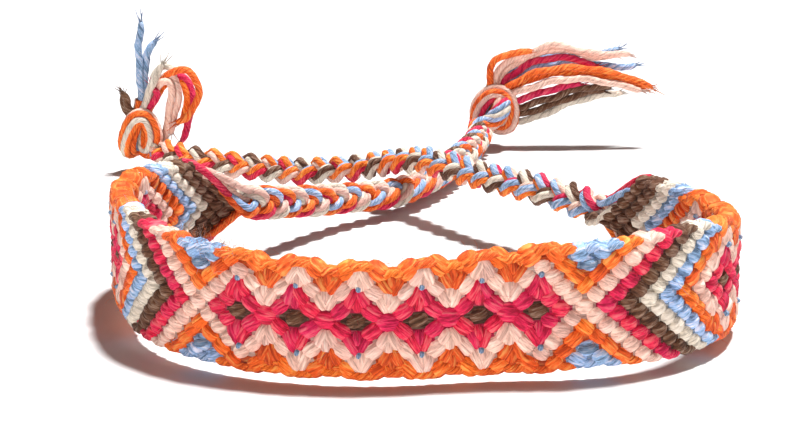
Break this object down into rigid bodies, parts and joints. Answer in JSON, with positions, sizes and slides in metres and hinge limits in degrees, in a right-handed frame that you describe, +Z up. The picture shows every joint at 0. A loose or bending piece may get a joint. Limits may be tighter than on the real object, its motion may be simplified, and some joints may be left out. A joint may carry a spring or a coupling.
{
  "type": "friendship bracelet",
  "caption": "Knotted cotton friendship bracelet as an open oval loop, with pointed ends and a plait, overhand knot and tassel at each end.",
  "frame": {"origin": "bottom centre of the band's box, plaits, knots and tassels left out", "axes": "+Z up from the surface it lies on, the band's front towards -Y, +X to the right along the loop's long side"},
  "size_m": [0.0706, 0.1122, 0.0181],
  "materials": {
    "woven_cotton": "matte knotted cotton string in diamonds and chevrons",
    "plaited_cotton": "matte cotton string in a three-bundle plait",
    "knot_cotton": "matte cotton string",
    "tassel_cotton": "matte loose cotton string"
  },
  "bodies": {
    "root": {"band": "woven_cotton", "braid_left": "plaited_cotton", "braid_right": "plaited_cotton", "knot_left": "knot_cotton", "knot_right": "knot_cotton", "tassel_left": "tassel_cotton", "tassel_right": "tassel_cotton"}
  },
  "joints": []
}
